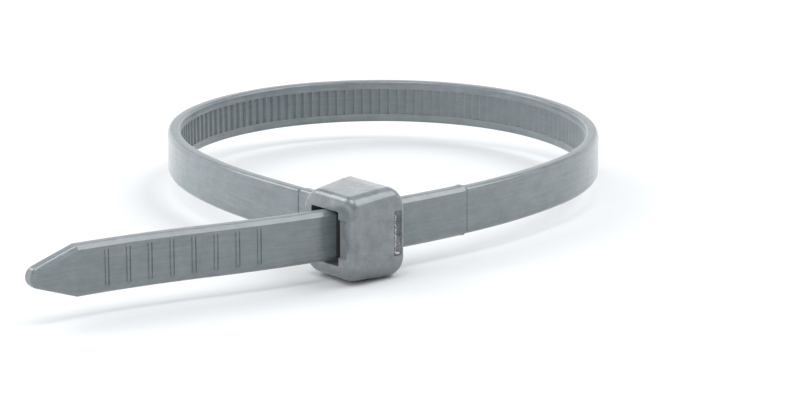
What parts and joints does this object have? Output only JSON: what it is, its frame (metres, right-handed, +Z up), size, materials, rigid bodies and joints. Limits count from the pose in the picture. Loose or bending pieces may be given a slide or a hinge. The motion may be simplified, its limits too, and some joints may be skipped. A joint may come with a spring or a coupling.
{
  "type": "cable tie",
  "caption": "One-piece nylon cable tie closed into a loop, its toothed strap passed through a pawl head with a pointed, ribbed tail.",
  "frame": {"origin": "on the flat underside of the head, below the head's middle; this is the surface the tie rests on", "axes": "+X back along the slot from the exit to the entry, so the tail points to -X; +Y out along the strap's root; +Z up, across the width of the strap"},
  "size_m": [0.0793, 0.0507, 0.0086],
  "materials": {
    "nylon": "satin"
  },
  "bodies": {
    "root": {"cable_tie": "nylon"}
  },
  "joints": []
}
